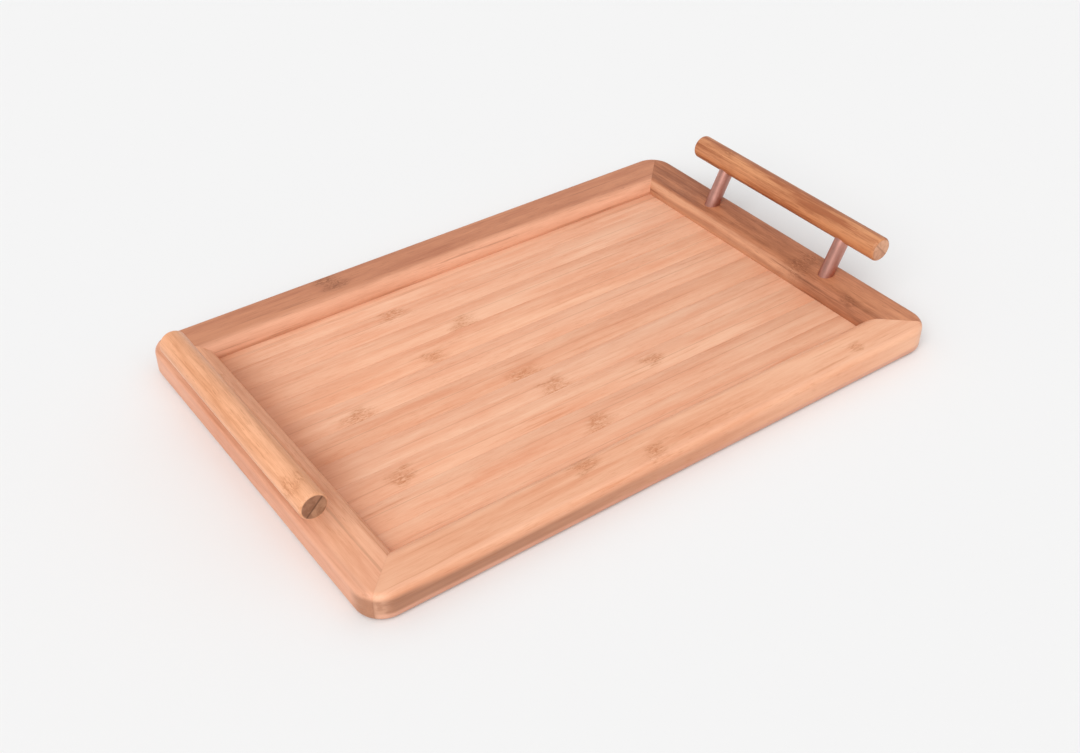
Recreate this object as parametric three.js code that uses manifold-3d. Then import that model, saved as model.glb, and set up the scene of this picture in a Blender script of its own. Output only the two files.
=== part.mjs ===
// A bamboo serving tray: a floor of glued staves held in a mitred frame, and over each
// short side a round bar handle on two metal posts that lean outwards.
// Millimetres, +Z up, +X along the tray. The origin is under its middle, on the table.

import * as THREE from 'three';
import { mergeVertices } from 'three/addons/utils/BufferGeometryUtils.js';
import Module from 'manifold-3d';

// Frame
const trayLength = 450;
const trayWidth = 300;
const railHeight = 20;
const railWidth = 35;
const planCornerRadius = 18;
const edgeRadius = 4;
const topFall = 1;
const crownWidth = 26;
const beadRadius = 10;
const lipHeight = 1;
const undersideEase = 1;

// Floor
const staveCount = 10;
const staveThickness = 6;
const floorClearance = 4;
const tongueThickness = 4;
const tongueDepth = 5;

// Corner splines
const splineLength = 20;
const splineWidth = 14;
const splineThickness = 3;
const splineInset = 17;
const splineLift = 13;

// Handles
const barDiameter = 18;
const barLength = 190;
const barEndRadius = 2;
const handleHeight = 60;
const gluePlaneTilt = THREE.MathUtils.degToRad(45);
const postDiameter = 11;
const postSpacing = 124;
const postInset = 15.5;
const postLean = THREE.MathUtils.degToRad(26);
const postSocketDepth = 5.5;
const postPastAxis = 1.5;
const postEndEase = 0.5;

// Screws that hold the posts from below
const screwDiameter = 4;
const screwGrip = 12;
const screwHeadDiameter = 7;
const screwHeadHeight = 2.4;
const driveAcrossCorners = 3;
const driveDepth = 1.4;
const driveSides = 6;
const washerDiameter = 8;
const washerThickness = 0.8;
const seatDepth = 15.5;

// Clearances, how far a cutting tool passes the face it cuts, and how near two corners of a
// shape may be before they count as one
const touchGap = 0.3;
const panelSlack = 0.5;
const overcut = 2;
const mergeTolerance = 0.0002;

// Smoothness of round shapes
const barSides = 28;
const postSides = 20;
const screwSides = 12;
const arcSteps = 4;
const easeSteps = 1;

// Sizes that follow from the ones above
const floorTop = floorClearance + staveThickness;
const floorLength = trayLength - 2 * (railWidth - tongueDepth);
const floorWidth = trayWidth - 2 * (railWidth - tongueDepth);
const staveWidth = floorWidth / staveCount;
const grooveFloor = railWidth - tongueDepth - panelSlack;
const grooveTop = floorClearance + tongueThickness + touchGap;
const grooveBottom = floorClearance - touchGap;
const crownDrop = topFall / (crownWidth - edgeRadius);
const barAxisRise = handleHeight - barDiameter / 2 - railHeight;
const barAxisReach = barAxisRise * Math.tan(postLean);
const barAxisDistance = barAxisRise / Math.cos(postLean);
const postRadius = postDiameter / 2;
const screwRadius = screwDiameter / 2;
const counterboreRadius = washerDiameter / 2 + touchGap;

const wasm = await Module();
wasm.setup();

// Bamboo and metal, each piece with a material of its own.
const finishes = {
  floor: { color: 0xe3b48c, roughness: 0.5, metalness: 0 },
  frame: { color: 0xd79f77, roughness: 0.48, metalness: 0 },
  bar: { color: 0xcf945f, roughness: 0.42, metalness: 0 },
  post: { color: 0xb39a94, roughness: 0.34, metalness: 1 },
  fixing: { color: 0xa9a9ab, roughness: 0.38, metalness: 1 },
};

function makeMesh(name, geometry, finish) {
  const mesh = new THREE.Mesh(geometry, new THREE.MeshStandardMaterial(finishes[finish]));
  mesh.name = name;
  return mesh;
}

// A closed three.js geometry, moved by a matrix, as a solid that can be joined or cut. The
// triangles that a turned profile folds flat on its axis are left out.
function solidOf(geometry, matrix = new THREE.Matrix4()) {
  const moved = geometry.clone().applyMatrix4(matrix);
  moved.deleteAttribute('normal');
  moved.deleteAttribute('uv');
  const merged = mergeVertices(moved, mergeTolerance);
  const corners = merged.index.array;
  const triangles = [];
  for (let i = 0; i < corners.length; i += 3) {
    const [a, b, c] = corners.slice(i, i + 3);
    if (a !== b && b !== c && c !== a) {
      triangles.push(a, b, c);
    }
  }
  return new wasm.Manifold(new wasm.Mesh({
    numProp: 3,
    vertProperties: new Float32Array(merged.attributes.position.array),
    triVerts: new Uint32Array(triangles),
  }));
}

function geometryOf(solid) {
  const cut = solid.getMesh();
  const geometry = new THREE.BufferGeometry();
  geometry.setAttribute('position', new THREE.BufferAttribute(cut.vertProperties, 3));
  geometry.setIndex(new THREE.BufferAttribute(cut.triVerts, 1));
  geometry.computeVertexNormals();
  return geometry;
}

function moveTo(x, y, z) {
  return new THREE.Matrix4().makeTranslation(x, y, z);
}

function roundedRectangle(length, width, radius) {
  const outline = new THREE.Shape();
  outline.absarc(length / 2 - radius, -width / 2 + radius, radius, -Math.PI / 2, 0);
  outline.absarc(length / 2 - radius, width / 2 - radius, radius, 0, Math.PI / 2);
  outline.absarc(-length / 2 + radius, width / 2 - radius, radius, Math.PI / 2, Math.PI);
  outline.absarc(-length / 2 + radius, -width / 2 + radius, radius, Math.PI, Math.PI * 1.5);
  return outline;
}

// The block that all four rails are shaped within: round corners in plan, and round edges.
function frameEnvelope() {
  const outline = roundedRectangle(
    trayLength - 2 * edgeRadius,
    trayWidth - 2 * edgeRadius,
    planCornerRadius - edgeRadius,
  );
  const block = new THREE.ExtrudeGeometry(outline, {
    depth: railHeight - 2 * edgeRadius,
    bevelSize: edgeRadius,
    bevelThickness: edgeRadius,
    bevelSegments: arcSteps,
    curveSegments: arcSteps,
  });
  return solidOf(block, moveTo(0, 0, edgeRadius));
}

// A rail's section, drawn inwards from its outer face and upwards from the table. The top
// falls a little to a round bead, and a groove below the floor's face holds its tongues.
function railSection() {
  const beadTop = new THREE.Vector2(crownWidth, railHeight - topFall);
  const beadFoot = new THREE.Vector2(railWidth, floorTop + lipHeight);
  const chord = beadFoot.clone().sub(beadTop);
  const middle = beadTop.clone().add(beadFoot).multiplyScalar(0.5);
  const sagitta = Math.sqrt(beadRadius ** 2 - chord.lengthSq() / 4);
  const towardsRail = new THREE.Vector2(chord.y, -chord.x).normalize();
  const centre = middle.clone().addScaledVector(towardsRail, sagitta);
  const startAngle = beadTop.clone().sub(centre).angle();
  const endAngle = beadFoot.clone().sub(centre).angle();

  const section = new THREE.Shape();
  section.moveTo(-overcut, -overcut);
  section.lineTo(-overcut, railHeight + (edgeRadius + overcut) * crownDrop);
  section.absarc(centre.x, centre.y, beadRadius, startAngle, endAngle, true);
  section.lineTo(railWidth, grooveTop);
  section.lineTo(grooveFloor, grooveTop);
  section.lineTo(grooveFloor, grooveBottom);
  section.lineTo(railWidth, grooveBottom);
  section.lineTo(railWidth, undersideEase);
  section.lineTo(railWidth - undersideEase - overcut, -overcut);
  return section;
}

// The plan of a rail with both ends mitred, drawn with its outer face along the first axis.
function railPlan(length) {
  const halfGap = touchGap / 2 * Math.SQRT2;
  const outer = length / 2 + overcut - halfGap;
  const inner = length / 2 - railWidth - overcut - halfGap;
  const plan = new THREE.Shape();
  plan.moveTo(-outer, -overcut);
  plan.lineTo(outer, -overcut);
  plan.lineTo(inner, railWidth + overcut);
  plan.lineTo(-inner, railWidth + overcut);
  return plan;
}

// A mitred rail along the given direction, with its outer face at the given distance out.
function railBlank(length, along, inwards, distance) {
  const up = new THREE.Vector3(0, 0, 1);
  const outerFace = inwards.clone().multiplyScalar(-distance);
  const sectionFrame = new THREE.Matrix4()
    .makeBasis(inwards, up, along)
    .setPosition(outerFace.clone().addScaledVector(along, -length / 2 - overcut));
  const planFrame = new THREE.Matrix4()
    .makeBasis(along, inwards, up)
    .setPosition(outerFace.clone().addScaledVector(up, -2 * overcut));
  const swept = new THREE.ExtrudeGeometry(railSection(), {
    depth: length + 2 * overcut,
    bevelEnabled: false,
    curveSegments: arcSteps,
  });
  const mitred = new THREE.ExtrudeGeometry(railPlan(length), {
    depth: railHeight + 4 * overcut,
    bevelEnabled: false,
  });
  return solidOf(swept, sectionFrame)
    .intersect(solidOf(mitred, planFrame))
    .intersect(frameEnvelope());
}

// A stave of the floor, its underside at zero. Tongues below its face enter the rails: one at
// each end, and one more along the outer edge of the first and the last stave.
function staveGeometry(outerSide) {
  const width = staveWidth - touchGap;
  const setBack = tongueDepth + touchGap;
  const edgeSetBack = outerSide === 0 ? 0 : setBack - touchGap / 2;
  const tongues = new THREE.BoxGeometry(floorLength, width, tongueThickness);
  const board = new THREE.BoxGeometry(
    floorLength - 2 * setBack,
    width - edgeSetBack,
    staveThickness,
  );
  const inPlace = moveTo(0, -outerSide * edgeSetBack / 2, staveThickness / 2);
  return geometryOf(
    solidOf(board, inPlace).add(solidOf(tongues, moveTo(0, 0, tongueThickness / 2))),
  );
}

// The spline across a corner's mitre; its width runs along the mitre.
function splineFrame(sideX, sideY) {
  const turn = sideX * sideY > 0 ? Math.PI / 4 : -Math.PI / 4;
  return new THREE.Matrix4()
    .makeRotationZ(turn)
    .setPosition(
      sideX * (trayLength / 2 - splineInset),
      sideY * (trayWidth / 2 - splineInset),
      splineLift,
    );
}

function splineSlot(sideX, sideY) {
  const slot = new THREE.BoxGeometry(
    splineWidth + 2 * touchGap,
    splineLength + 2 * touchGap,
    splineThickness + 2 * touchGap,
  );
  return solidOf(slot, splineFrame(sideX, sideY));
}

// A post's own frame: its axis is local +Y, starting on the axis level with the rail's top.
function postFrame(side) {
  return new THREE.Matrix4()
    .makeRotationY(postLean)
    .multiply(new THREE.Matrix4().makeRotationX(Math.PI / 2))
    .setPosition(trayLength / 2 - postInset, side * postSpacing / 2, railHeight);
}

// A plain round tool along a post's axis, between two distances from the rail's top.
function roundTool(radius, from, to, sides, side) {
  const tool = new THREE.CylinderGeometry(radius, radius, to - from, sides);
  tool.translate(0, (from + to) / 2, 0);
  return solidOf(tool, postFrame(side));
}

function longRailGeometry() {
  const along = new THREE.Vector3(1, 0, 0);
  const inwards = new THREE.Vector3(0, 1, 0);
  const rail = railBlank(trayLength, along, inwards, trayWidth / 2)
    .subtract(splineSlot(-1, -1))
    .subtract(splineSlot(1, -1));
  return geometryOf(rail);
}

// A short rail takes the feet of two posts, and from below a counterbored screw hole each.
function shortRailGeometry() {
  const along = new THREE.Vector3(0, 1, 0);
  const inwards = new THREE.Vector3(-1, 0, 0);
  let rail = railBlank(trayWidth, along, inwards, trayLength / 2)
    .subtract(splineSlot(1, -1))
    .subtract(splineSlot(1, 1));
  const aboveRail = postDiameter;
  const belowRail = -2 * railHeight;
  for (const side of [-1, 1]) {
    rail = rail
      .subtract(roundTool(postRadius + touchGap, -postSocketDepth, aboveRail, postSides, side))
      .subtract(roundTool(screwRadius + touchGap, -seatDepth - overcut, 0, screwSides, side))
      .subtract(roundTool(counterboreRadius, belowRail, -seatDepth, postSides, side));
  }
  return geometryOf(rail);
}

// A whole bar about its own axis, which runs along Y, with eased ends.
function barBlank() {
  const radius = barDiameter / 2;
  const profile = new THREE.Path();
  profile.moveTo(0, -barLength / 2);
  profile.lineTo(radius - barEndRadius, -barLength / 2);
  profile.absarc(radius - barEndRadius, -barLength / 2 + barEndRadius, barEndRadius, -Math.PI / 2, 0);
  profile.absarc(radius - barEndRadius, barLength / 2 - barEndRadius, barEndRadius, 0, Math.PI / 2);
  profile.lineTo(0, barLength / 2);
  return new THREE.LatheGeometry(profile.getPoints(easeSteps), barSides);
}

// One of the two glued halves of a bar: the outer one above the glue plane, or the inner one.
function barHalfGeometry(half) {
  const reach = 2 * barDiameter;
  const keep = new THREE.BoxGeometry(reach, barLength + reach, reach);
  keep.translate(half * (reach + touchGap) / 2, 0, 0);
  const axis = moveTo(trayLength / 2 - postInset + barAxisReach, 0, railHeight + barAxisRise);
  const tilted = axis.clone().multiply(new THREE.Matrix4().makeRotationY(-gluePlaneTilt));
  let bar = solidOf(barBlank(), axis).intersect(solidOf(keep, tilted));
  for (const side of [-1, 1]) {
    const hole = roundTool(
      postRadius + touchGap,
      0,
      barAxisDistance + postPastAxis + touchGap,
      postSides,
      side,
    );
    bar = bar.subtract(hole);
  }
  return geometryOf(bar);
}

// A post: a plain rod with eased ends and a blind hole for its screw.
function postGeometry() {
  const foot = -postSocketDepth + touchGap;
  const head = barAxisDistance + postPastAxis;
  const holeRadius = screwRadius + touchGap;
  const holeEnd = foot + screwGrip + touchGap;
  const profile = [
    new THREE.Vector2(0, holeEnd),
    new THREE.Vector2(holeRadius, holeEnd),
    new THREE.Vector2(holeRadius, foot),
    new THREE.Vector2(postRadius - postEndEase, foot),
    new THREE.Vector2(postRadius, foot + postEndEase),
    new THREE.Vector2(postRadius, head - postEndEase),
    new THREE.Vector2(postRadius - postEndEase, head),
    new THREE.Vector2(0, head),
  ];
  return new THREE.LatheGeometry(profile, postSides);
}

// A screw: its pan head hangs below the washer, and its shank ends inside the post.
function screwGeometry() {
  const neck = -seatDepth - washerThickness - 2 * touchGap;
  const bottom = neck - screwHeadHeight;
  const tip = -postSocketDepth + screwGrip;
  const headRadius = screwHeadDiameter / 2;
  const rimHeight = screwHeadHeight / 4;
  const domeHeight = screwHeadHeight - rimHeight;
  const domeWidth = screwHeadHeight / 2;
  const domeInner = headRadius - domeWidth;
  const profile = new THREE.Path();
  profile.moveTo(0, bottom);
  profile.lineTo(domeInner, bottom);
  profile.absellipse(domeInner, neck - rimHeight, domeWidth, domeHeight, -Math.PI / 2, 0);
  profile.lineTo(headRadius, neck);
  profile.lineTo(screwRadius, neck);
  profile.lineTo(screwRadius, tip - screwRadius / 2);
  profile.lineTo(screwRadius / 2, tip);
  profile.lineTo(0, tip);
  const blank = new THREE.LatheGeometry(profile.getPoints(easeSteps), screwSides);
  const driveRadius = driveAcrossCorners / 2;
  const drive = new THREE.CylinderGeometry(driveRadius, driveRadius, 2 * driveDepth, driveSides);
  return geometryOf(solidOf(blank).subtract(solidOf(drive, moveTo(0, bottom, 0))));
}

function washerGeometry() {
  const top = -seatDepth - touchGap;
  const bottom = top - washerThickness;
  const outer = washerDiameter / 2;
  const inner = screwRadius + touchGap;
  const profile = [
    new THREE.Vector2(inner, bottom),
    new THREE.Vector2(outer, bottom),
    new THREE.Vector2(outer, top),
    new THREE.Vector2(inner, top),
    new THREE.Vector2(inner, bottom),
  ];
  return new THREE.LatheGeometry(profile, postSides);
}

const tray = new THREE.Group();

// Floor staves, numbered from the front.
const middleStave = staveGeometry(0);
const staves = [staveGeometry(-1), ...Array(staveCount - 2).fill(middleStave), staveGeometry(1)];
for (const [i, geometry] of staves.entries()) {
  const stave = makeMesh(`floor_stave_${String(i + 1).padStart(2, '0')}`, geometry, 'floor');
  stave.position.set(0, (i + 0.5) * staveWidth - floorWidth / 2, floorClearance);
  tray.add(stave);
}

// Rails: the back and left ones are the front and right ones turned round.
const longRail = longRailGeometry();
const shortRail = shortRailGeometry();
const rails = [
  ['rail_front', longRail, 0],
  ['rail_back', longRail, Math.PI],
  ['rail_right', shortRail, 0],
  ['rail_left', shortRail, Math.PI],
];
for (const [name, geometry, turn] of rails) {
  const rail = makeMesh(name, geometry, 'frame');
  rail.rotation.z = turn;
  tray.add(rail);
}

// Splines, one hidden in each corner.
for (const [nameX, sideX] of [['left', -1], ['right', 1]]) {
  for (const [nameY, sideY] of [['front', -1], ['back', 1]]) {
    const key = new THREE.BoxGeometry(splineWidth, splineLength, splineThickness);
    const spline = makeMesh(`spline_${nameY}_${nameX}`, key, 'frame');
    spline.applyMatrix4(splineFrame(sideX, sideY));
    tray.add(spline);
  }
}

// Handles: the left one is the right one turned round, so its front post is built at the back.
const innerHalf = barHalfGeometry(-1);
const outerHalf = barHalfGeometry(1);
for (const [name, turn, sides] of [
  ['right', 0, { front: -1, back: 1 }],
  ['left', Math.PI, { front: 1, back: -1 }],
]) {
  const handle = new THREE.Group();
  handle.rotation.z = turn;
  handle.add(makeMesh(`bar_${name}_inner`, innerHalf, 'bar'));
  handle.add(makeMesh(`bar_${name}_outer`, outerHalf, 'bar'));
  for (const [end, side] of Object.entries(sides)) {
    const pieces = [
      makeMesh(`post_${name}_${end}`, postGeometry(), 'post'),
      makeMesh(`screw_${name}_${end}`, screwGeometry(), 'fixing'),
      makeMesh(`washer_${name}_${end}`, washerGeometry(), 'fixing'),
    ];
    for (const piece of pieces) {
      piece.applyMatrix4(postFrame(side));
      handle.add(piece);
    }
  }
  tray.add(handle);
}

export default tray;
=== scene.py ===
# A bamboo serving tray: stave floor, mitred frame, two bar handles on leaning metal posts.
import math
import random

import bmesh
import bpy
from mathutils import Matrix, Vector


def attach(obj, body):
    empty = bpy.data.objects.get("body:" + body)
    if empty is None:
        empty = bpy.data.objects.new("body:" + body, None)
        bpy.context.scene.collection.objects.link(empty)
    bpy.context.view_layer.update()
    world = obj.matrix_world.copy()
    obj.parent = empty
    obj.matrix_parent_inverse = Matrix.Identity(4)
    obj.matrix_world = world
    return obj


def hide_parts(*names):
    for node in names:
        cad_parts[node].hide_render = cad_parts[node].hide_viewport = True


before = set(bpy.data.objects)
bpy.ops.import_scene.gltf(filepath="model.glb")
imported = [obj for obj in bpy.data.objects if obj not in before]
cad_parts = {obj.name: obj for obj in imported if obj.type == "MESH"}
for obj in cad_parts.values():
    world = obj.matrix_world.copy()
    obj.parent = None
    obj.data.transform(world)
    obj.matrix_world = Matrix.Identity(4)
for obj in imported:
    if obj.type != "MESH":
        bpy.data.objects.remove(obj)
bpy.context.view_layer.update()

random.seed(7)

MM = 0.001      # a millimetre in metres
MERGE = 1e-7    # metres: corners of a built mesh nearer than this are one
WELD = 1e-6     # metres: the same after a boolean cut

# ---------------------------------------------------------------- sizes, in millimetres
LENGTH, WIDTH = 450.0, 300.0
RAIL_H, RAIL_W = 20.0, 35.0
CORNER_R, EDGE_R = 18.0, 4.0
CROWN_W, CROWN_DROP = 26.0, 1.0
BEAD_R, LIP_Z = 10.0, 11.0
GROOVE_W, GROOVE_LO, GROOVE_HI = 29.5, 3.7, 8.3
FOOT_EDGE_R = 1.0
MITRE_GAP = 0.03
FLOOR_LO, TONGUE_HI, FLOOR_HI = 4.0, 8.0, 10.0
STAVES, STAVE_W = 10, 24.0
SEAM_GAP, STAVE_EASE = 0.02, 0.14
FLOOR_L, FACE_L, FACE_W = 390.0, 379.8, 229.8
BAR_R, BAR_L, BAR_END_R = 9.0, 190.0, 2.0
BAR_Z = 51.0
POST_R, POST_Y, LEAN = 5.5, 62.0, math.radians(26)
POST_INSET, POST_EASE, POST_PAST_AXIS = 15.5, 0.5, 1.5
POST_X = LENGTH / 2 - POST_INSET
BAR_X = POST_X + (BAR_Z - RAIL_H) * math.tan(LEAN)
BAR_AT = (BAR_Z - RAIL_H) / math.cos(LEAN)
GLUE_TILT = math.radians(45)
GLUE = 0.006
BAR_HOLE_GAP, BAR_HOLE_PAST_AXIS = 0.05, 1.6
SOCKET, SOCKET_GAP = 5.5, 0.06
SEAT, COUNTERBORE_R = 15.5, 4.3
SCREW_R, SCREW_GRIP, SCREW_GAP = 2.0, 12.0, 0.3
HEAD_R, HEAD_H, HEAD_FACE_R, HEAD_RIM = 3.5, 2.4, 2.2, 0.6
DRIVE_R, DRIVE_DEPTH, DRIVE_OVERCUT = 1.5, 1.4, 2.0
WASHER_R, WASHER_T, WASHER_EASE = 4.0, 0.8, 0.15
BORE_TOP = 12.0

# Edges that turn by more than this, in degrees, stay sharp in the shading
SHARP, FINE_SHARP, BAR_SHARP = 35, 32, 40
# Edges of a stave that turn by more than this, in degrees, are eased
EASED_FROM = 50


# ---------------------------------------------------------------- node helpers
class Nodes:
    """Short calls for building a node tree. A value is a number, a tuple or a socket."""

    def __init__(self, tree):
        self.tree = tree

    def new(self, kind, **props):
        node = self.tree.nodes.new(kind)
        for key, value in props.items():
            setattr(node, key, value)
        return node

    def put(self, value, socket):
        if isinstance(value, bpy.types.NodeSocket):
            self.tree.links.new(value, socket)
        else:
            socket.default_value = value

    def math(self, op, a, b=0.0, clamp=False):
        node = self.new("ShaderNodeMath", operation=op, use_clamp=clamp)
        self.put(a, node.inputs[0])
        self.put(b, node.inputs[1])
        return node.outputs[0]

    def vmath(self, op, a, b):
        node = self.new("ShaderNodeVectorMath", operation=op)
        self.put(a, node.inputs[0])
        self.put(b, node.inputs[1])
        return node.outputs[0]

    def noise(self, vector, scale, detail=2.0, rough=0.5, distortion=0.0):
        node = self.new("ShaderNodeTexNoise")
        self.put(self.vmath("MULTIPLY", vector, scale), node.inputs["Vector"])
        node.inputs["Scale"].default_value = 1.0
        node.inputs["Detail"].default_value = detail
        node.inputs["Roughness"].default_value = rough
        node.inputs["Distortion"].default_value = distortion
        return node.outputs["Fac"]

    def ramp(self, value, lo, hi, to_lo=0.0, to_hi=1.0):
        node = self.new("ShaderNodeMapRange", clamp=True)
        node.interpolation_type = "SMOOTHSTEP"
        self.put(value, node.inputs["Value"])
        self.put(lo, node.inputs["From Min"])
        self.put(hi, node.inputs["From Max"])
        self.put(to_lo, node.inputs["To Min"])
        self.put(to_hi, node.inputs["To Max"])
        return node.outputs["Result"]

    def mix(self, factor, a, b, blend="MIX"):
        node = self.new("ShaderNodeMix", data_type="RGBA", blend_type=blend)
        self.put(factor, node.inputs[0])
        self.put(a, node.inputs[6])
        self.put(b, node.inputs[7])
        return node.outputs[2]


def rgba(r, g, b):
    return (r, g, b, 1.0)


def group(name, inputs, outputs):
    """A node group, with its inner input and output sockets."""
    tree = bpy.data.node_groups.new(name, "ShaderNodeTree")
    for label, kind in inputs:
        tree.interface.new_socket(label, in_out="INPUT", socket_type=kind)
    for label, kind in outputs:
        tree.interface.new_socket(label, in_out="OUTPUT", socket_type=kind)
    n = Nodes(tree)
    return n, n.new("NodeGroupInput").outputs, n.new("NodeGroupOutput").inputs


# How far a knuckle's edges stray, in millimetres
SWAY, RAGGED, WANDER = 20.0, 14.0, 9.0


def knuckle_group():
    """How much of a bamboo knuckle there is at a point: a ragged band across one strip."""
    n, i, o = group(
        "knuckle",
        [("Place", "NodeSocketVector"), ("Along", "NodeSocketFloat"),
         ("Across", "NodeSocketFloat"), ("Half length", "NodeSocketFloat"),
         ("Half width", "NodeSocketFloat")],
        [("Mask", "NodeSocketFloat")],
    )
    split = n.new("ShaderNodeSeparateXYZ")
    n.put(i["Place"], split.inputs[0])
    # Along the grain the band sways slowly and its edge is ragged from fibre to fibre.
    sway = n.noise(i["Place"], (0.03, 0.17, 0.17), 1.0)
    sway = n.math("MULTIPLY", n.math("SUBTRACT", sway, 0.5), SWAY)
    ragged = n.noise(i["Place"], (0.06, 0.95, 0.95), 2.0)
    sway = n.math("ADD", sway, n.math("MULTIPLY", n.math("SUBTRACT", ragged, 0.5), RAGGED))
    # Across it the strip's sides wander a little.
    wander = n.noise(i["Place"], (0.09, 0.02, 0.02), 1.0)
    wander = n.math("MULTIPLY", n.math("SUBTRACT", wander, 0.5), WANDER)
    along = n.math("SUBTRACT", split.outputs[0], i["Along"])
    along = n.math("ABSOLUTE", n.math("ADD", along, sway))
    across = n.math("SUBTRACT", split.outputs[1], i["Across"])
    across = n.math("ABSOLUTE", n.math("ADD", across, wander))
    band = n.ramp(n.math("DIVIDE", along, i["Half length"]), 0.1, 1.25, 1.0, 0.0)
    strip = n.ramp(n.math("DIVIDE", across, i["Half width"]), 0.6, 1.15, 1.0, 0.0)
    n.put(n.math("MULTIPLY", band, strip), o["Mask"])
    return n.tree


def bamboo_group():
    """Bamboo with the grain along the first axis; places are in millimetres."""
    n, i, o = group(
        "bamboo",
        [("Place", "NodeSocketVector"), ("Light", "NodeSocketColor"),
         ("Dark", "NodeSocketColor"), ("Mark", "NodeSocketColor"),
         ("Knuckles", "NodeSocketFloat"), ("Contrast", "NodeSocketFloat")],
        [("Colour", "NodeSocketColor"), ("Roughness", "NodeSocketFloat"),
         ("Height", "NodeSocketFloat")],
    )
    p, k, c = i["Place"], i["Knuckles"], i["Contrast"]

    # The noises' scales are per millimetre: low along the grain and high across it.
    broad = n.noise(p, (0.007, 0.05, 0.05), 2.0)
    strip = n.noise(p, (0.0095, 0.115, 0.115), 2.0, 0.5)
    streak = n.noise(p, (0.014, 0.40, 0.40), 3.0, 0.5)
    fibre = n.noise(p, (0.045, 1.6, 1.6), 2.0, 0.6)
    mottle = n.noise(p, (0.05, 0.24, 0.24), 3.0, 0.6)
    dash = n.noise(p, (0.13, 1.7, 1.7), 1.0)
    curl = n.noise(p, (0.18, 0.52, 0.52), 3.0, 0.65, 1.9)
    hair = n.noise(n.vmath("ADD", p, (7.0, 3.0, 11.0)), (0.10, 1.4, 1.4), 2.0, 0.6, 0.3)
    fleck = n.noise(n.vmath("ADD", p, (31.0, 17.0, 5.0)), (0.22, 0.9, 0.9), 2.0, 0.6, 0.8)

    # From broad bands to single fibres, each adds to where the colour lies from dark to light.
    tone = n.math("MULTIPLY", n.math("SUBTRACT", broad, 0.5), 1.3)
    for value, amount in ((strip, 1.4), (streak, 0.8), (fibre, 0.9), (mottle, 0.8)):
        tone = n.math("ADD", tone, n.math("MULTIPLY", n.math("SUBTRACT", value, 0.5), amount))
    tone = n.math("MULTIPLY", tone, c)
    tone = n.math("ADD", tone, 0.58, clamp=True)
    colour = n.mix(tone, i["Dark"], i["Light"])

    # Short dashes of the vessels, and a few long dark lines.
    dashes = n.math("MULTIPLY", n.ramp(dash, 0.58, 0.72), n.ramp(broad, 0.35, 0.65, 0.35, 0.08))
    colour = n.mix(n.math("MULTIPLY", dashes, c), colour, i["Mark"])
    line = n.ramp(streak, 0.28, 0.37, 0.30, 0.0)
    colour = n.mix(n.math("MULTIPLY", line, c), colour, i["Mark"])

    # In a knuckle the fibres curl: darker curls and hairs, and pale flecks between them.
    curls = n.ramp(curl, 0.47, 0.61)
    colour = n.mix(n.math("MULTIPLY", k, 0.28), colour, i["Mark"])
    for value, amount, to in (
        (curls, 0.62, i["Mark"]),
        (n.ramp(hair, 0.50, 0.62), 0.16, i["Mark"]),
        (n.ramp(fleck, 0.52, 0.64), 0.62, i["Light"]),
    ):
        colour = n.mix(n.math("MULTIPLY", n.math("MULTIPLY", k, value), amount), colour, to)
    n.put(colour, o["Colour"])

    rough = n.math("ADD", n.math("MULTIPLY", streak, 0.16), 0.35)
    n.put(n.math("ADD", rough, n.math("MULTIPLY", k, 0.08)), o["Roughness"])

    height = n.math("ADD", n.math("MULTIPLY", fibre, 0.5), n.math("MULTIPLY", streak, 0.5))
    height = n.math("SUBTRACT", height, n.math("MULTIPLY", n.math("MULTIPLY", k, curls), 0.5))
    n.put(height, o["Height"])
    return n.tree


KNUCKLE = knuckle_group()
BAMBOO = bamboo_group()

MARK = rgba(0.49, 0.155, 0.046)
TO_MM = (1000, 1000, 1000)
BUMP, BUMP_DEPTH = 0.4, 0.00008
METAL_BUMP, METAL_BUMP_DEPTH = 0.2, 0.00003
METAL_TINT = 0.08
ROUGH_SPREAD = 0.16


def surface_bump(n, height, strength, depth, shader):
    """Small relief from a height, as deep as depth, in metres."""
    bump = n.new("ShaderNodeBump")
    bump.inputs["Strength"].default_value = strength
    bump.inputs["Distance"].default_value = depth
    n.put(height, bump.inputs["Height"])
    n.put(bump.outputs[0], shader.inputs["Normal"])


def end_grain(n, place, axes, colour, rough, end):
    """The colour and roughness with a bar's end grain on its two ends."""
    side, at, light, dark, glue_line = end
    pores = n.noise(place, (0.05, 1.7, 1.7), 2.0, 0.6)
    rings = n.noise(place, (0.02, 0.25, 0.25), 2.0, 0.5, 0.4)
    face = n.mix(n.ramp(rings, 0.35, 0.65), dark, light)
    face = n.mix(n.ramp(pores, 0.54, 0.66, 0.0, 0.45), face, dark)
    from_axis = n.math("SUBTRACT", n.math("MULTIPLY", axes[1], side), BAR_X)
    from_axis = n.math("ADD", from_axis, n.math("SUBTRACT", axes[2], BAR_Z))
    glue = n.ramp(n.math("ABSOLUTE", from_axis), 0.5, 1.1, 0.8, 0.0)
    face = n.mix(glue, face, glue_line)
    on_end = n.ramp(n.math("ABSOLUTE", axes[0]), at - 0.35, at - 0.05)
    rough = n.math("ADD", rough, n.math("MULTIPLY", on_end, 0.15))
    return n.mix(on_end, colour, face), rough


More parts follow.
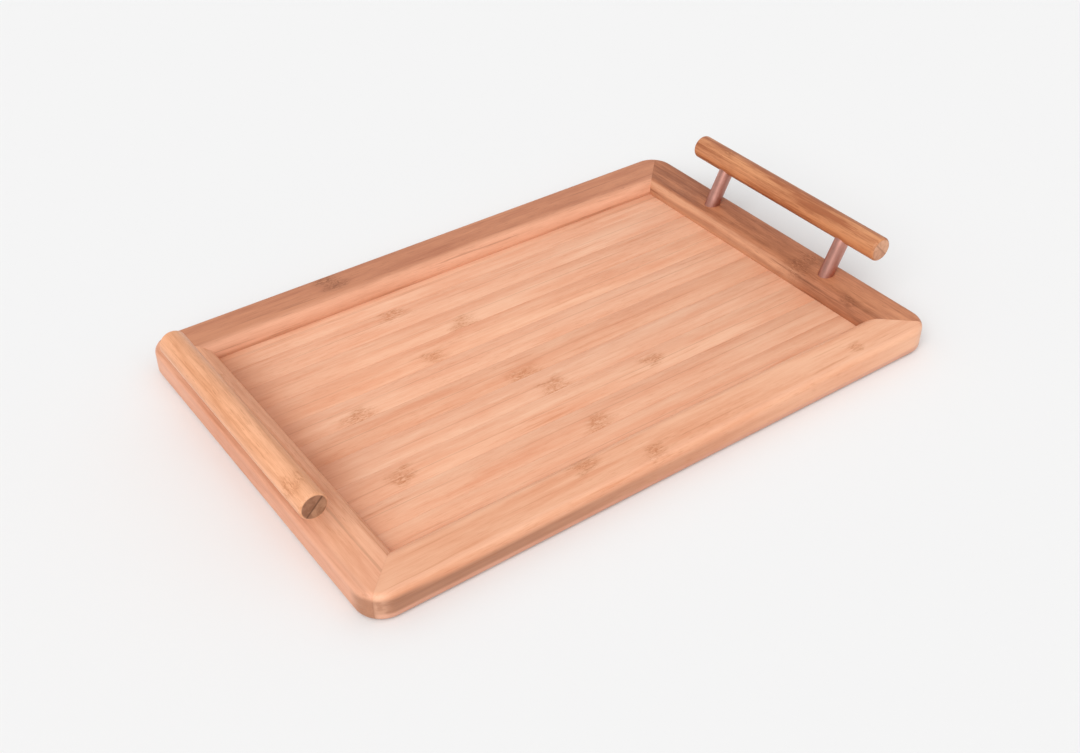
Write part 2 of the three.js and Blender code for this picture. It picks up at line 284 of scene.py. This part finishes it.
def bamboo(name, light, dark, grain="X", shift=(0, 0, 0), knuckles=(), contrast=1.0,
           mark=MARK, tints=(), lines=(), end=None):
    """A bamboo material; every place is in mm, and axis 0 runs along the grain, 1 across
    it and 2 up.
    knuckles: (along, across, half length, half width)
    tints:    (axis, where it starts, where it is full, light, dark, then any number of
              gates), each gate another (axis, where it starts, where it is full)
    lines:    (axis, place, half width, strength, colour)
    end:      (side, along, light, dark, glue line), a bar's end grain beyond that distance"""
    material = bpy.data.materials.new(name)
    material.use_nodes = True
    n = Nodes(material.node_tree)
    n.tree.nodes.clear()
    out = n.new("ShaderNodeOutputMaterial")
    shader = n.new("ShaderNodeBsdfPrincipled")
    n.tree.links.new(shader.outputs[0], out.inputs["Surface"])

    place = n.vmath("MULTIPLY", n.new("ShaderNodeTexCoord").outputs["Object"], TO_MM)
    split = n.new("ShaderNodeSeparateXYZ")
    n.put(place, split.inputs[0])
    axes = list(split.outputs)
    if grain == "Y":
        axes = [axes[1], axes[0], axes[2]]
        join = n.new("ShaderNodeCombineXYZ")
        for axis in range(3):
            n.put(axes[axis], join.inputs[axis])
        place = join.outputs[0]

    mask = 0.0
    for along, across, half_length, half_width in knuckles:
        node = n.new("ShaderNodeGroup", node_tree=KNUCKLE)
        n.put(place, node.inputs["Place"])
        node.inputs["Along"].default_value = along
        node.inputs["Across"].default_value = across
        node.inputs["Half length"].default_value = half_length
        node.inputs["Half width"].default_value = half_width
        one = node.outputs["Mask"]
        mask = one if mask == 0.0 else n.math("MAXIMUM", mask, one)

    for axis, start, full, to_light, to_dark, *gates in tints:
        amount = n.ramp(axes[axis], start, full)
        for gate_axis, gate_start, gate_full in gates:
            amount = n.math("MULTIPLY", amount, n.ramp(axes[gate_axis], gate_start, gate_full))
        light = n.mix(amount, light, to_light)
        dark = n.mix(amount, dark, to_dark)

    wood = n.new("ShaderNodeGroup", node_tree=BAMBOO)
    shifted = n.vmath("ADD", place, shift)
    n.put(shifted, wood.inputs["Place"])
    n.put(light, wood.inputs["Light"])
    n.put(dark, wood.inputs["Dark"])
    wood.inputs["Mark"].default_value = mark
    n.put(mask, wood.inputs["Knuckles"])
    wood.inputs["Contrast"].default_value = contrast
    colour, rough = wood.outputs["Colour"], wood.outputs["Roughness"]

    if lines:
        breaks = n.noise(shifted, (0.012, 0.25, 0.25), 2.0)
        breaks = n.ramp(breaks, 0.36, 0.56, 0.35, 1.0)
    for axis, at, half, strength, to in lines:
        away = n.math("ABSOLUTE", n.math("SUBTRACT", axes[axis], at))
        amount = n.math("MULTIPLY", n.ramp(away, half * 0.3, half, strength, 0.0), breaks)
        colour = n.mix(amount, colour, to)

    if end:
        colour, rough = end_grain(n, place, axes, colour, rough, end)

    n.put(colour, shader.inputs["Base Color"])
    n.put(rough, shader.inputs["Roughness"])
    shader.inputs["Specular IOR Level"].default_value = 0.36
    shader.inputs["Coat Weight"].default_value = 0.06
    shader.inputs["Coat Roughness"].default_value = 0.32
    surface_bump(n, wood.outputs["Height"], BUMP, BUMP_DEPTH, shader)
    return material


def metal(name, colour, rough, brush):
    """Satin metal with fine drawn lines and faint clouding. brush is the lines' noise scale
    along each axis."""
    material = bpy.data.materials.new(name)
    material.use_nodes = True
    n = Nodes(material.node_tree)
    shader = n.tree.nodes["Principled BSDF"]
    place = n.vmath("MULTIPLY", n.new("ShaderNodeTexCoord").outputs["Object"], TO_MM)
    lines = n.noise(place, brush, 3.0, 0.6)
    cloud = n.noise(place, (0.12, 0.12, 0.12), 2.0)
    dark = rgba(*[c * (1 - 2 * METAL_TINT) for c in colour])
    n.put(n.mix(n.ramp(cloud, 0.3, 0.7), rgba(*colour), dark), shader.inputs["Base Color"])
    shader.inputs["Metallic"].default_value = 1.0
    spread = n.math("MULTIPLY", lines, ROUGH_SPREAD)
    n.put(n.math("ADD", spread, rough - ROUGH_SPREAD / 2), shader.inputs["Roughness"])
    shader.inputs["Anisotropic"].default_value = 0.3
    surface_bump(n, lines, METAL_BUMP, METAL_BUMP_DEPTH, shader)
    return material


# ---------------------------------------------------------------- mesh helpers
def weld(bm, distance):
    """Joins corners that lie together, and splits faces of more than four corners."""
    bmesh.ops.remove_doubles(bm, verts=bm.verts, dist=distance)
    bmesh.ops.dissolve_degenerate(bm, dist=distance, edges=bm.edges)
    bmesh.ops.triangulate(bm, faces=[f for f in bm.faces if len(f.verts) > 4])


def new_object(name, verts, faces, place=None, sharp=SHARP):
    """An object from points in millimetres, placed in the CAD's frame."""
    mesh = bpy.data.meshes.new(name)
    place = place or Matrix()
    mesh.from_pydata([(place @ Vector(v)) * MM for v in verts], [], faces)
    bm = bmesh.new()
    bm.from_mesh(mesh)
    weld(bm, MERGE)
    bmesh.ops.recalc_face_normals(bm, faces=bm.faces)
    bm.to_mesh(mesh)
    bm.free()
    obj = bpy.data.objects.new(name, mesh)
    bpy.context.scene.collection.objects.link(obj)
    shade(obj, sharp)
    return obj


def shade(obj, sharp=SHARP):
    obj.data.polygons.foreach_set("use_smooth", [True] * len(obj.data.polygons))
    obj.data.set_sharp_from_angle(angle=math.radians(sharp))


def cut(obj, tools, sharp):
    """Cuts the tools out of obj and removes them."""
    for tool in tools:
        modifier = obj.modifiers.new("cut", "BOOLEAN")
        modifier.operation = "DIFFERENCE"
        modifier.solver = "EXACT"
        modifier.object = tool
    deps = bpy.context.evaluated_depsgraph_get()
    result = bpy.data.meshes.new_from_object(obj.evaluated_get(deps))
    obj.modifiers.clear()
    bm = bmesh.new()
    bm.from_mesh(result)
    weld(bm, WELD)
    bm.to_mesh(result)
    bm.free()
    old = obj.data
    obj.data = result
    result.name = old.name
    bpy.data.meshes.remove(old)
    for tool in tools:
        data = tool.data
        bpy.data.objects.remove(tool)
        bpy.data.meshes.remove(data)
    shade(obj, sharp)


def lathe(name, profile, place, sides=64):
    """A turned solid about local +Y. The profile is (radius, height) and starts and ends
    on the axis, or closes on itself."""
    closed = profile[0][0] > 0
    points = profile if closed else profile[1:-1]
    verts, faces = [], []
    for k in range(sides):
        a = 2 * math.pi * k / sides
        verts += [(r * math.cos(a), y, r * math.sin(a)) for r, y in points]
    m = len(points)
    for k in range(sides):
        here, there = k * m, (k + 1) % sides * m
        for j in range(m if closed else m - 1):
            j2 = (j + 1) % m
            faces.append((here + j, here + j2, there + j2, there + j))
    if not closed:
        for end, j in ((profile[0], 0), (profile[-1], m - 1)):
            centre = len(verts)
            verts.append((0, end[1], 0))
            faces += [(centre, k * m + j, (k + 1) % sides * m + j) for k in range(sides)]
    return new_object(name, verts, faces, place)


def arc(cx, cy, r, start, end, steps):
    """Points on a circle, from one angle to another in degrees."""
    return [
        (cx + r * math.cos(math.radians(start + (end - start) * k / steps)),
         cy + r * math.sin(math.radians(start + (end - start) * k / steps)))
        for k in range(steps + 1)
    ]


def cells(xs, ys, zs, filled):
    """Faces round every filled cell of a grid: a closed solid with square steps."""
    verts, index, faces = [], {}, []

    def vert(i, j, k):
        if (i, j, k) not in index:
            index[i, j, k] = len(verts)
            verts.append((xs[i], ys[j], zs[k]))
        return index[i, j, k]

    def full(i, j, k):
        inside = 0 <= i < len(xs) - 1 and 0 <= j < len(ys) - 1 and 0 <= k < len(zs) - 1
        return inside and filled(i, j, k)

    for i in range(len(xs) - 1):
        for j in range(len(ys) - 1):
            for k in range(len(zs) - 1):
                if not full(i, j, k):
                    continue
                a = [[[vert(i + x, j + y, k + z) for z in (0, 1)] for y in (0, 1)]
                     for x in (0, 1)]
                for near, quad in (
                    ((i - 1, j, k), (a[0][0][0], a[0][0][1], a[0][1][1], a[0][1][0])),
                    ((i + 1, j, k), (a[1][0][0], a[1][1][0], a[1][1][1], a[1][0][1])),
                    ((i, j - 1, k), (a[0][0][0], a[1][0][0], a[1][0][1], a[0][0][1])),
                    ((i, j + 1, k), (a[0][1][0], a[0][1][1], a[1][1][1], a[1][1][0])),
                    ((i, j, k - 1), (a[0][0][0], a[0][1][0], a[1][1][0], a[1][0][0])),
                    ((i, j, k + 1), (a[0][0][1], a[1][0][1], a[1][1][1], a[0][1][1])),
                ):
                    if not full(*near):
                        faces.append(quad)
    return verts, faces


def ease(obj, width):
    """Rounds every sharp edge by a small real bevel."""
    bm = bmesh.new()
    bm.from_mesh(obj.data)
    least = math.radians(EASED_FROM)
    sharp = [e for e in bm.edges if len(e.link_faces) == 2 and e.calc_face_angle() > least]
    bmesh.ops.bevel(
        bm, geom=sharp, offset=width * MM, segments=2, profile=0.5,
        affect="EDGES", clamp_overlap=True,
    )
    bm.to_mesh(obj.data)
    bm.free()
    shade(obj)


def finish_piece(obj, slot, material, *nodes):
    """Gives a piece its material and body, and has it stand for its CAD nodes."""
    obj.data.materials.clear()
    obj.data.materials.append(material)
    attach(obj, "root")
    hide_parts(*nodes)
    return obj


# ---------------------------------------------------------------- rails
CROWN_POINTS = (10, 18, 22, 24)
RAIL_STEPS, CORNER_STEPS = 20, 8


def rail_profile():
    """The section as (distance in from the outer face, height), once round."""
    top, foot = Vector((CROWN_W, RAIL_H - CROWN_DROP)), Vector((RAIL_W, LIP_Z))
    chord = foot - top
    toward = Vector((chord.y, -chord.x)).normalized()
    centre = (top + foot) / 2 + toward * math.sqrt(BEAD_R ** 2 - chord.length_squared / 4)
    start = math.degrees(math.atan2(top.y - centre.y, top.x - centre.x))
    end = math.degrees(math.atan2(foot.y - centre.y, foot.x - centre.x))
    points = arc(EDGE_R, EDGE_R, EDGE_R, 270, 180, 10)
    points += arc(EDGE_R, RAIL_H - EDGE_R, EDGE_R, 180, 90, 10)
    fall = CROWN_DROP / (CROWN_W - EDGE_R)
    points += [(w, RAIL_H - fall * (w - EDGE_R)) for w in CROWN_POINTS]
    points += arc(centre.x, centre.y, BEAD_R, start, end, 14)
    points += [(RAIL_W, GROOVE_HI), (GROOVE_W, GROOVE_HI),
               (GROOVE_W, GROOVE_LO), (RAIL_W, GROOVE_LO)]
    points += arc(RAIL_W - FOOT_EDGE_R, FOOT_EDGE_R, FOOT_EDGE_R, 0, -90, 3)
    points += [(CORNER_R, 0)]
    return points


def rail(name, length, place):
    """A rail along local X, its outer face at local y = 0 but for the rounded corners."""
    profile = rail_profile()
    stations = (
        [("left", 1 - k / CORNER_STEPS) for k in range(CORNER_STEPS)]
        + [("line", -1 + 2 * k / RAIL_STEPS) for k in range(RAIL_STEPS + 1)]
        + [("right", (k + 1) / CORNER_STEPS) for k in range(CORNER_STEPS)]
    )
    verts, faces = [], []
    for kind, t in stations:
        for w, z in profile:
            half = length / 2 - max(w, CORNER_R)
            if kind == "line":
                x, y = half * t, w
            else:
                r = max(CORNER_R - w, 0.0)
                a = math.radians(45 * t)
                x = half + r * math.sin(a)
                y = max(w, CORNER_R) - r * math.cos(a)
                x = -x if kind == "left" else x
            x -= math.copysign(MITRE_GAP, x)
            verts.append((x, y, z))
    m = len(profile)
    for s in range(len(stations) - 1):
        for j in range(m):
            j2 = (j + 1) % m
            faces.append((s * m + j, s * m + j2, (s + 1) * m + j2, (s + 1) * m + j))
    faces.append(tuple(range(m)))
    faces.append(tuple(range((len(stations) - 1) * m, len(stations) * m))[::-1])
    return new_object(name, verts, faces, place, FINE_SHARP)


def turn(angle):
    return Matrix.Rotation(angle, 4, "Z")


def post_place(side):
    """A right-hand post's frame: its axis is local +Y, and starts level with the rail's top."""
    return (
        Matrix.Translation((POST_X, side * POST_Y, RAIL_H))
        @ Matrix.Rotation(LEAN, 4, "Y")
        @ Matrix.Rotation(math.pi / 2, 4, "X")
    )


def rod(radius, lo, hi, place, sides=64):
    """A plain round cutting tool between two heights."""
    return lathe("tool", [(0, lo), (radius, lo), (radius, hi), (0, hi)], place, sides)


def rail_tools(flip):
    """A short rail's two stepped bores: socket, screw hole and counterbore."""
    below, hole, socket = -2 * RAIL_H, SCREW_R + SCREW_GAP, POST_R + SOCKET_GAP
    bore = [(0, below), (COUNTERBORE_R, below), (COUNTERBORE_R, -SEAT), (hole, -SEAT),
            (hole, -SOCKET), (socket, -SOCKET), (socket, BORE_TOP), (0, BORE_TOP)]
    return [lathe("tool", bore, flip @ post_place(side)) for side in (-1, 1)]


# Bamboo colours: the near rails and the floor are pale, the far rails a deep brown.
LIGHT = rgba(0.880, 0.480, 0.300)
DARK = rgba(0.740, 0.300, 0.155)
EDGE_HIGHLIGHT = rgba(0.960, 0.560, 0.380)
BROWN = rgba(0.430, 0.185, 0.095)
DEEP_LIGHT = rgba(0.610, 0.255, 0.135)
DEEP_DARK = rgba(0.440, 0.155, 0.078)
CREASE_SHADE = rgba(0.230, 0.082, 0.036)
# The brown stripe along the front rail's outer face: a painted reflection of the dim sky at the
# horizon.
HORIZON_REFLECTION = rgba(0.490, 0.225, 0.128), rgba(0.370, 0.155, 0.082)

front = Matrix.Translation((0, -WIDTH / 2, 0))
side_place = Matrix.Translation((LENGTH / 2, 0, 0)) @ turn(math.pi / 2)
half_turn = turn(math.pi)

rail_front = rail("rail_front_wood", LENGTH, front)
rail_back = rail("rail_back_wood", LENGTH, half_turn @ front)
rail_right = rail("rail_right_wood", WIDTH, side_place)
rail_left = rail("rail_left_wood", WIDTH, half_turn @ side_place)
cut(rail_right, rail_tools(Matrix()), FINE_SHARP)
cut(rail_left, rail_tools(half_turn), FINE_SHARP)

finish_piece(rail_front, "frame_bamboo", bamboo(
    "bamboo_rail_front", LIGHT, DARK, "X", (40, 300, 9),
    [(-62, -126, 10, 7), (-19, -142, 9, 7), (160, -137, 7, 5)], 0.9,
    # Darker towards the left end: painted shade.
    tints=[(0, -90, -170, rgba(0.85, 0.445, 0.272), rgba(0.71, 0.28, 0.14)),
           # The brown stripe on the outer face: painted reflection of the dim horizon.
           (2, 16.5, 11.5, *HORIZON_REFLECTION, (1, -140, -143), (0, 150, -190)),
           (2, 18.5, 14.5, *HORIZON_REFLECTION, (1, -138, -142), (0, -170, -208)),
           # The lower outer face paler and pinker: painted reflection of the pale ground.
           (2, 7, 4.5, rgba(0.74, 0.38, 0.26), rgba(0.60, 0.26, 0.155), (1, -144, -147)),
           # The bottom edge brown: painted shade where the rail meets the ground.
           (2, 1.8, 0.4, BROWN, BROWN, (1, -143, -147))],
    # The pale line along the outer top rounding is a painted highlight.
    lines=[(1, -146.8, 3.2, 0.30, EDGE_HIGHLIGHT)]),
    "rail_front")
finish_piece(rail_back, "frame_bamboo", bamboo(
    "bamboo_rail_back", DEEP_LIGHT, DEEP_DARK, "X", (-610, 130, 40),
    [(-89, 140, 12, 11)], 1.0, mark=rgba(0.19, 0.062, 0.025),
    # The inner bead paler: painted light on the bead, which faces the front.
    tints=[(1, 127, 119, rgba(0.86, 0.43, 0.27), rgba(0.68, 0.30, 0.17))],
    # The brown line at the bead's foot: painted shade in the crease by the floor.
    lines=[(2, 10.4, 2.2, 0.45, BROWN)]), "rail_back")
finish_piece(rail_right, "frame_bamboo", bamboo(
    "bamboo_rail_right", rgba(0.52, 0.200, 0.094), rgba(0.31, 0.100, 0.042), "Y", (250, -480, 77),
    [(-43, 207, 14, 16), (-46, 203, 9, 9), (-96, 199, 8, 5)], 1.5,
    mark=rgba(0.20, 0.055, 0.018),
    tints=[(0, 20, -140, rgba(0.64, 0.265, 0.13), rgba(0.42, 0.145, 0.066)),
           (0, 70, 135, rgba(0.48, 0.178, 0.082), rgba(0.29, 0.091, 0.037)),
           # The inner bead paler: painted light on the bead.
           (1, 196.5, 194.5, rgba(0.68, 0.32, 0.175), rgba(0.50, 0.20, 0.10)),
           (1, 203, 199, rgba(0.50, 0.185, 0.088), rgba(0.22, 0.070, 0.028), (0, -38, -62))],
    # The dark line at the bead's foot: painted shade in the crease by the floor.
    lines=[(1, 190.8, 1.3, 0.3, CREASE_SHADE)]),
    "rail_right")
finish_piece(rail_left, "frame_bamboo", bamboo(
    "bamboo_rail_left", rgba(0.90, 0.475, 0.29), rgba(0.72, 0.30, 0.155), "Y", (-90, 205, 55),
    [(88, -207, 9, 8)], 1.1,
    tints=[(0, -85, -135, rgba(0.86, 0.43, 0.262), rgba(0.69, 0.272, 0.143)),
           # The outer rounding darker: painted shade.
           (1, -217.5, -222, rgba(0.79, 0.395, 0.25), rgba(0.62, 0.25, 0.135)),
           # The brown stripe on the outer face near the front: painted reflection of the dim
           # horizon.
           (2, 18.5, 14.5, *HORIZON_REFLECTION, (0, -126, -138), (1, -214, -219))],
    # The brown line at -222.5, along the outer rounding, is painted shade.
    lines=[(1, -205.5, 1.3, 0.38, BROWN), (1, -222.5, 2.4, 0.3, BROWN),
           # The brown bottom edge: painted shade where the rail meets the ground.
           (2, 0.6, 1.6, 0.5, BROWN)]),
    "rail_left")

# ---------------------------------------------------------------- floor
# Each knuckle's place along and across, and its size against the usual one.
KNUCKLES = [
    (-66, 94, 1.0), (-30, 52, 1.0), (-71, 31, 0.75), (-145, 3, 1.0), (-32, -21, 1.0),
    (-22, -43, 1.1), (-151, -60, 1.0), (49, -59, 0.6), (-21, -91, 1.1),
]


def stave(index):
    """One stave of the floor, with its tongues, counted from the front."""
    low = index * STAVE_W - STAVES * STAVE_W / 2 + SEAM_GAP
    high = low + STAVE_W - 2 * SEAM_GAP
    face = FACE_W / 2
    xs = [-FLOOR_L / 2, -FACE_L / 2, FACE_L / 2, FLOOR_L / 2]
    ys = sorted({low, high} | {edge for edge in (-face, face) if low < edge < high})
    zs = [FLOOR_LO, TONGUE_HI, FLOOR_HI]

    def filled(i, j, k):
        if k == 0:
            return True
        return i == 1 and -face <= (ys[j] + ys[j + 1]) / 2 <= face

    verts, faces = cells(xs, ys, zs, filled)
    name = f"stave_{index + 1:02d}"
    obj = new_object(name, verts, faces)
    ease(obj, STAVE_EASE)
    mid = (low + high) / 2
    marks = [(x, y, size * random.uniform(11, 15), size * random.uniform(8, 10))
             for x, y, size in KNUCKLES if abs(y - mid) <= STAVE_W / 2]
    shade_by = 1 + random.uniform(-0.025, 0.025)
    warm = 1 + random.uniform(-0.02, 0.02)
    light = rgba(0.885 * shade_by, 0.505 * shade_by * warm, 0.328 * shade_by * warm ** 2)
    dark = rgba(0.755 * shade_by, 0.310 * shade_by * warm, 0.168 * shade_by * warm ** 2)
    # Towards the left end the floor darkens, less so at the front: painted shadow of the left
    # rail and its bar.
    left_shadow = rgba(0.72, 0.335, 0.195), rgba(0.56, 0.22, 0.11)
    if index < 3:
        left_shadow = rgba(0.80, 0.415, 0.255), rgba(0.66, 0.265, 0.14)
    shift = (random.uniform(-900, 900), random.uniform(-900, 900), random.uniform(-90, 90))
    seams = [(1, mid + random.uniform(-4, 4), 0.5, 0.32, BROWN)]
    if index == STAVES - 1:
        seams.append((1, high - STAVE_W / 2, 0.9, 0.4, BROWN))
    material = bamboo(
        f"bamboo_{name}", light, dark, "X", shift, marks, 0.75,
        tints=[(0, -160, -192, *left_shadow)], lines=seams)
    return finish_piece(obj, "floor_bamboo", material, f"floor_{name}")


for index in range(STAVES):
    stave(index)

# ---------------------------------------------------------------- handles
BAR_STEPS, BAR_END_STEPS = 40, 8
POST_RINGS = (4, 12, 20, 28)


def bar_half(name, half, flip):
    """Half of a bar: half = 1 is the outer one above the glue plane, -1 the inner one."""
    r, e, h = BAR_R, BAR_END_R, BAR_L / 2
    angles = [math.radians(90 * k / BAR_END_STEPS) for k in range(BAR_END_STEPS + 1)]
    outline = [(r - e + e * math.sin(a), h - e + e * math.cos(a)) for a in angles]
    stations = [(rad, -y) for rad, y in outline] + [(rad, y) for rad, y in reversed(outline)]
    verts, faces = [], []
    m = BAR_STEPS + 1
    for rad, y in stations:
        for k in range(m):
            a = math.pi * k / BAR_STEPS - math.pi / 2
            x = half * ((rad - GLUE) * math.cos(a) + GLUE)
            verts.append((x, y, (rad - GLUE) * math.sin(a)))
    for s in range(len(stations) - 1):
        for k in range(m):
            k2 = (k + 1) % m
            faces.append((s * m + k, s * m + k2, (s + 1) * m + k2, (s + 1) * m + k))
    faces.append(tuple(range(m)))
    faces.append(tuple(range((len(stations) - 1) * m, len(stations) * m)))
    place = flip @ Matrix.Translation((BAR_X, 0, BAR_Z)) @ Matrix.Rotation(-GLUE_TILT, 4, "Y")
    obj = new_object(name, verts, faces, place, BAR_SHARP)
    radius, top = POST_R + BAR_HOLE_GAP, BAR_AT + BAR_HOLE_PAST_AXIS
    holes = [rod(radius, 0, top, flip @ post_place(side)) for side in (-1, 1)]
    cut(obj, holes, BAR_SHARP)
    return obj


def post(name, side, flip):
    """A post with eased ends and a blind hole for its screw."""
    foot, head = -SOCKET + SCREW_GAP, BAR_AT + POST_PAST_AXIS
    hole, hole_end = SCREW_R + SCREW_GAP, foot + SCREW_GRIP
    profile = [(0, hole_end), (hole, hole_end), (hole, foot)]
    profile += arc(POST_R - POST_EASE, foot + POST_EASE, POST_EASE, -90, 0, 4)
    profile += [(POST_R, y) for y in POST_RINGS]
    profile += arc(POST_R - POST_EASE, head - POST_EASE, POST_EASE, 0, 90, 4)
    profile += [(0, head)]
    return lathe(name, profile, flip @ post_place(side), 72)


def screw(name, side, flip):
    """A screw with a domed head and a six-sided drive."""
    neck = -SEAT - WASHER_T - 2 * SCREW_GAP
    bottom = neck - HEAD_H
    tip, chamfer = -SOCKET + SCREW_GRIP, SCREW_R / 2
    dome_w, dome_h = HEAD_H / 2, HEAD_H - HEAD_RIM
    angles = [math.radians(t) for t in range(10, 91, 10)]
    profile = [(0, bottom), (HEAD_FACE_R, bottom)]
    profile += [(HEAD_R - dome_w + dome_w * math.sin(a), neck - HEAD_RIM - dome_h * math.cos(a))
                for a in angles]
    profile += [(HEAD_R, neck), (SCREW_R, neck), (SCREW_R, tip - chamfer), (chamfer, tip),
                (0, tip)]
    place = flip @ post_place(side)
    obj = lathe(name, profile, place, 48)
    cut(obj, [rod(DRIVE_R, bottom - DRIVE_OVERCUT, bottom + DRIVE_DEPTH, place, 6)], FINE_SHARP)
    return obj


def washer(name, side, flip):
    top = -SEAT - SCREW_GAP
    low, outer, inner, e = top - WASHER_T, WASHER_R, SCREW_R + SCREW_GAP, WASHER_EASE
    profile = [(inner, low), (outer - e, low), (outer, low + e),
               (outer, top - e), (outer - e, top), (inner, top)]
    return lathe(name, profile, flip @ post_place(side), 56)


# The posts' warm brown tint is painted reflection of the bamboo around them, on satin metal.
post_metal = metal("satin_post", (0.61, 0.315, 0.26), 0.40, (5.0, 5.0, 0.25))
fixing_metal = metal("zinc_fixing", (0.52, 0.52, 0.53), 0.36, (2.0, 2.0, 2.0))

# For each half of a bar: light and dark along it, then light and dark of its end grain.
BAR_TONES = {
    "left_outer": ((0.88, 0.445, 0.25), (0.66, 0.285, 0.135),
                   (0.37, 0.17, 0.095), (0.27, 0.115, 0.06)),
    "left_inner": ((0.86, 0.43, 0.245), (0.64, 0.27, 0.13),
                   (0.46, 0.23, 0.13), (0.33, 0.15, 0.08)),
    "right_outer": ((0.66, 0.29, 0.13), (0.37, 0.115, 0.042),
                    (0.72, 0.395, 0.24), (0.58, 0.285, 0.16)),
    "right_inner": ((0.62, 0.27, 0.12), (0.35, 0.11, 0.040),
                    (0.68, 0.365, 0.22), (0.54, 0.255, 0.145)),
}
GLUE_LINES = {"left": rgba(0.14, 0.055, 0.028), "right": rgba(0.44, 0.20, 0.11)}
BAR_CONTRAST = {"left": 1.3, "right": 1.8}
BAR_MARKS = {"left": rgba(0.50, 0.185, 0.07), "right": rgba(0.33, 0.11, 0.04)}
BAR_KNUCKLES = {"left_outer": [(-79, -228, 8, 7)], "right_outer": [(62, 228, 7, 8)]}

for hand, flip, sides in (("right", Matrix(), (("front", -1), ("back", 1))),
                          ("left", half_turn, (("front", 1), ("back", -1)))):
    for half_name, half in (("outer", 1), ("inner", -1)):
        key = f"{hand}_{half_name}"
        obj = bar_half(f"bar_{key}_wood", half, flip)
        light, dark, end_light, end_dark = [rgba(*tone) for tone in BAR_TONES[key]]
        shift = (random.uniform(-500, 500), random.uniform(-500, 500), random.uniform(-90, 90))
        material = bamboo(
            f"bamboo_bar_{key}", light, dark, "Y", shift,
            BAR_KNUCKLES.get(key, ()), BAR_CONTRAST[hand], mark=BAR_MARKS[hand],
            end=(1 if hand == "right" else -1, BAR_L / 2, end_light, end_dark,
                 GLUE_LINES[hand]))
        finish_piece(obj, "bar_bamboo", material, f"bar_{key}")
    for end, side in sides:
        key = f"{hand}_{end}"
        finish_piece(post(f"post_{key}_rod", side, flip), "post_metal", post_metal, f"post_{key}")
        finish_piece(screw(f"screw_{key}_pan", side, flip), "fixing_steel", fixing_metal,
                     f"screw_{key}")
        finish_piece(washer(f"washer_{key}_flat", side, flip), "fixing_steel", fixing_metal,
                     f"washer_{key}")

# ---------------------------------------------------------------- splines, hidden in the corners
spline_wood = bamboo("bamboo_spline", rgba(0.72, 0.42, 0.24), rgba(0.58, 0.30, 0.15), "X")
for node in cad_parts:
    if node.startswith("spline"):
        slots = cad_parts[node].data.materials
        slots.clear()
        slots.append(spline_wood)

# ---------------------------------------------------------------- floor, light and camera
# A pale floor, in metres, just below the tray. Far away it rises slowly to hide the horizon.
GROUND_SIDES, GROUND_RINGS, RING_STEP = 96, 45, 1.25
GROUND_Z = -0.0002
RISE_FROM, RISE = 4.0, 0.0028
ground_radii = [RISE_FROM] + [RISE_FROM + 1 + RING_STEP * k for k in range(GROUND_RINGS)]
ground_points = [(0, 0, GROUND_Z)]
for r in ground_radii:
    for k in range(GROUND_SIDES):
        a = 2 * math.pi * k / GROUND_SIDES
        height = GROUND_Z + RISE * (r - RISE_FROM) ** 2
        ground_points.append((r * math.cos(a), r * math.sin(a), height))
ground_faces = [(0, 1 + k, 1 + (k + 1) % GROUND_SIDES) for k in range(GROUND_SIDES)]
for ring in range(len(ground_radii) - 1):
    inner = 1 + ring * GROUND_SIDES
    for k in range(GROUND_SIDES):
        k2 = (k + 1) % GROUND_SIDES
        outer = inner + GROUND_SIDES
        ground_faces.append((inner + k, outer + k, outer + k2, inner + k2))
stage_mesh = bpy.data.meshes.new("ground")
stage_mesh.from_pydata(ground_points, [], ground_faces)
stage_mesh.polygons.foreach_set("use_smooth", [True] * len(stage_mesh.polygons))
ground = bpy.data.objects.new("ground", stage_mesh)
bpy.context.scene.collection.objects.link(ground)
pale = bpy.data.materials.new("pale_ground")
pale.use_nodes = True
pale_shader = pale.node_tree.nodes["Principled BSDF"]
pale_shader.inputs["Base Color"].default_value = rgba(0.86, 0.86, 0.86)
pale_shader.inputs["Roughness"].default_value = 0.9
pale_shader.inputs["Specular IOR Level"].default_value = 0.1
stage_mesh.materials.append(pale)

world = bpy.data.worlds.new("studio")
world.use_nodes = True
sky = Nodes(world.node_tree)
direction = sky.new("ShaderNodeSeparateXYZ")
sky.put(sky.new("ShaderNodeTexCoord").outputs["Generated"], direction.inputs[0])
background = world.node_tree.nodes["Background"]
background.inputs["Color"].default_value = rgba(1.0, 1.0, 1.0)
# The sky is dim at the horizon, and full where a direction's upward part reaches 0.6.
HORIZON, OVERHEAD, FULL_FROM = 0.14, 0.76, 0.6
sky.put(sky.ramp(direction.outputs[2], 0.0, FULL_FROM, HORIZON, OVERHEAD),
        background.inputs["Strength"])
bpy.context.scene.world = world

sun = bpy.data.lights.new("key", "SUN")
sun.energy = 1.66
sun.angle = math.radians(50)
key = bpy.data.objects.new("key", sun)
key.rotation_euler = Vector((0.75, 0.55, -0.85)).to_track_quat("-Z", "Y").to_euler()
bpy.context.scene.collection.objects.link(key)

AZ, EL, DIST = math.radians(-35.88), math.radians(37.64), 0.9207
LOOK_AT = (-0.01645, -0.0187, 0)
back = Vector((math.sin(AZ) * math.cos(EL), -math.cos(AZ) * math.cos(EL), math.sin(EL)))
camera = bpy.data.objects.new("camera", bpy.data.cameras.new("camera"))
camera.data.lens = 45.13
camera.data.sensor_width = 36
camera.data.sensor_fit = "HORIZONTAL"
camera.data.clip_start = 0.01
camera.data.clip_end = 200
camera.location = Vector(LOOK_AT) + back * DIST
camera.rotation_euler = back.to_track_quat("Z", "Y").to_euler()
bpy.context.scene.collection.objects.link(camera)
bpy.context.scene.camera = camera
bpy.context.scene.view_settings.view_transform = "Standard"
